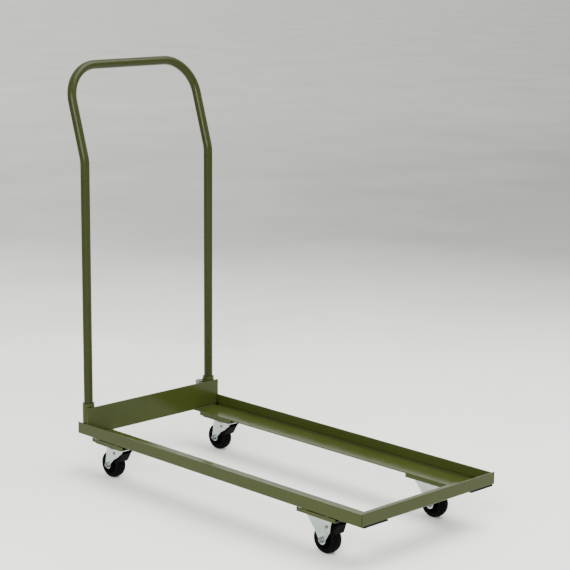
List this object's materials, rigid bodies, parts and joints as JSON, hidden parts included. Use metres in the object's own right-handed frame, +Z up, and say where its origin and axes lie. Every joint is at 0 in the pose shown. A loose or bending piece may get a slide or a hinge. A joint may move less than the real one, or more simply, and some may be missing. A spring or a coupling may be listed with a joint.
{
  "type": "folding chair dolly",
  "caption": "Open rectangular angle-rail dolly on swivel and fixed casters with foot brakes, and an upright hoop push handle held in sockets at one end.",
  "frame": {"origin": "centre of the footprint at floor level, under the middle of the bounding box", "axes": "+Z up from the floor, +X along the base from the handle end to the open end, +Y across to the far side, where the clamp screw is"},
  "size_m": [1.17, 0.49, 1.1485],
  "materials": {
    "olive_powder_coat": "satin powder coat",
    "tube_powder_coat": "satin powder coat",
    "bright_zinc": "bright zinc plating",
    "zinc_fasteners": "zinc plating",
    "bearing_steel": "polished",
    "wheel_plastic": "moulded",
    "pedal_plastic": "moulded",
    "tyre_rubber": "hard rubber"
  },
  "bodies": {
    "base": {"near_side_rail": "olive_powder_coat", "far_side_rail": "olive_powder_coat", "end_rail": "olive_powder_coat", "handle_end_plate": "olive_powder_coat", "near_handle_socket": "olive_powder_coat", "far_handle_socket": "olive_powder_coat", "clamp_nut": "olive_powder_coat", "near_swivel_caster_pad": "olive_powder_coat", "far_swivel_caster_pad": "olive_powder_coat", "near_fixed_caster_pad": "olive_powder_coat", "far_fixed_caster_pad": "olive_powder_coat", "caster_bolts": "zinc_fasteners", "caster_nuts": "zinc_fasteners", "near_swivel_top_plate": "olive_powder_coat", "near_swivel_bearing_balls": "bearing_steel", "near_swivel_king_pin": "bright_zinc", "far_swivel_top_plate": "olive_powder_coat", "far_swivel_bearing_balls": "bearing_steel", "far_swivel_king_pin": "bright_zinc", "near_fixed_fork": "bright_zinc", "near_fixed_axle_sleeve": "zinc_fasteners", "near_fixed_axle_bolt": "zinc_fasteners", "near_fixed_axle_nut": "zinc_fasteners", "near_fixed_pedal_pin": "zinc_fasteners", "far_fixed_fork": "bright_zinc", "far_fixed_axle_sleeve": "zinc_fasteners", "far_fixed_axle_bolt": "zinc_fasteners", "far_fixed_axle_nut": "zinc_fasteners", "far_fixed_pedal_pin": "zinc_fasteners"},
    "handle": {"handle_tube": "tube_powder_coat"},
    "clamp": {"clamp_screw": "zinc_fasteners"},
    "near_swivel_yoke": {"near_swivel_fork": "bright_zinc", "near_swivel_axle_sleeve": "zinc_fasteners", "near_swivel_axle_bolt": "zinc_fasteners", "near_swivel_axle_nut": "zinc_fasteners", "near_swivel_pedal_pin": "zinc_fasteners"},
    "near_swivel_wheel": {"near_swivel_wheel_core": "wheel_plastic", "near_swivel_tyre": "tyre_rubber"},
    "near_swivel_pedal": {"near_swivel_brake_pedal": "pedal_plastic"},
    "far_swivel_yoke": {"far_swivel_fork": "bright_zinc", "far_swivel_axle_sleeve": "zinc_fasteners", "far_swivel_axle_bolt": "zinc_fasteners", "far_swivel_axle_nut": "zinc_fasteners", "far_swivel_pedal_pin": "zinc_fasteners"},
    "far_swivel_wheel": {"far_swivel_wheel_core": "wheel_plastic", "far_swivel_tyre": "tyre_rubber"},
    "far_swivel_pedal": {"far_swivel_brake_pedal": "pedal_plastic"},
    "near_fixed_wheel": {"near_fixed_wheel_core": "wheel_plastic", "near_fixed_tyre": "tyre_rubber"},
    "near_fixed_pedal": {"near_fixed_brake_pedal": "pedal_plastic"},
    "far_fixed_wheel": {"far_fixed_wheel_core": "wheel_plastic", "far_fixed_tyre": "tyre_rubber"},
    "far_fixed_pedal": {"far_fixed_brake_pedal": "pedal_plastic"}
  },
  "joints": [
    {"name": "handle_lift", "type": "slide", "parent": "base", "child": "handle", "axis": [0, 0, 1], "range_m": [0, 0.087]},
    {"name": "clamp_screw_travel", "type": "slide", "parent": "base", "child": "clamp", "axis": [0, -1, 0], "range_m": [0, 0.008]},
    {"name": "near_swivel_turn", "type": "hinge", "parent": "base", "child": "near_swivel_yoke", "pos_m": [-0.38695, -0.2, 0.088], "axis": [0, 0, 1], "continuous": true},
    {"name": "near_swivel_wheel_spin", "type": "hinge", "parent": "near_swivel_yoke", "child": "near_swivel_wheel", "pos_m": [-0.41395, -0.2, 0.038], "axis": [0, 1, 0], "continuous": true},
    {"name": "near_swivel_pedal_press", "type": "hinge", "parent": "near_swivel_yoke", "child": "near_swivel_pedal", "pos_m": [-0.38595, -0.2, 0.077], "axis": [0, -1, 0], "range_deg": [0, 12]},
    {"name": "far_swivel_turn", "type": "hinge", "parent": "base", "child": "far_swivel_yoke", "pos_m": [-0.38695, 0.2, 0.088], "axis": [0, 0, 1], "continuous": true},
    {"name": "far_swivel_wheel_spin", "type": "hinge", "parent": "far_swivel_yoke", "child": "far_swivel_wheel", "pos_m": [-0.41395, 0.2, 0.038], "axis": [0, 1, 0], "continuous": true},
    {"name": "far_swivel_pedal_press", "type": "hinge", "parent": "far_swivel_yoke", "child": "far_swivel_pedal", "pos_m": [-0.38595, 0.2, 0.077], "axis": [0, -1, 0], "range_deg": [0, 12]},
    {"name": "near_fixed_wheel_spin", "type": "hinge", "parent": "base", "child": "near_fixed_wheel", "pos_m": [0.42505, -0.2, 0.038], "axis": [0, 1, 0], "continuous": true},
    {"name": "near_fixed_pedal_press", "type": "hinge", "parent": "base", "child": "near_fixed_pedal", "pos_m": [0.44505, -0.2, 0.077], "axis": [0, -1, 0], "range_deg": [-12, 0]},
    {"name": "far_fixed_wheel_spin", "type": "hinge", "parent": "base", "child": "far_fixed_wheel", "pos_m": [0.42505, 0.2, 0.038], "axis": [0, 1, 0], "continuous": true},
    {"name": "far_fixed_pedal_press", "type": "hinge", "parent": "base", "child": "far_fixed_pedal", "pos_m": [0.44505, 0.2, 0.077], "axis": [0, -1, 0], "range_deg": [-12, 0]}
  ]
}
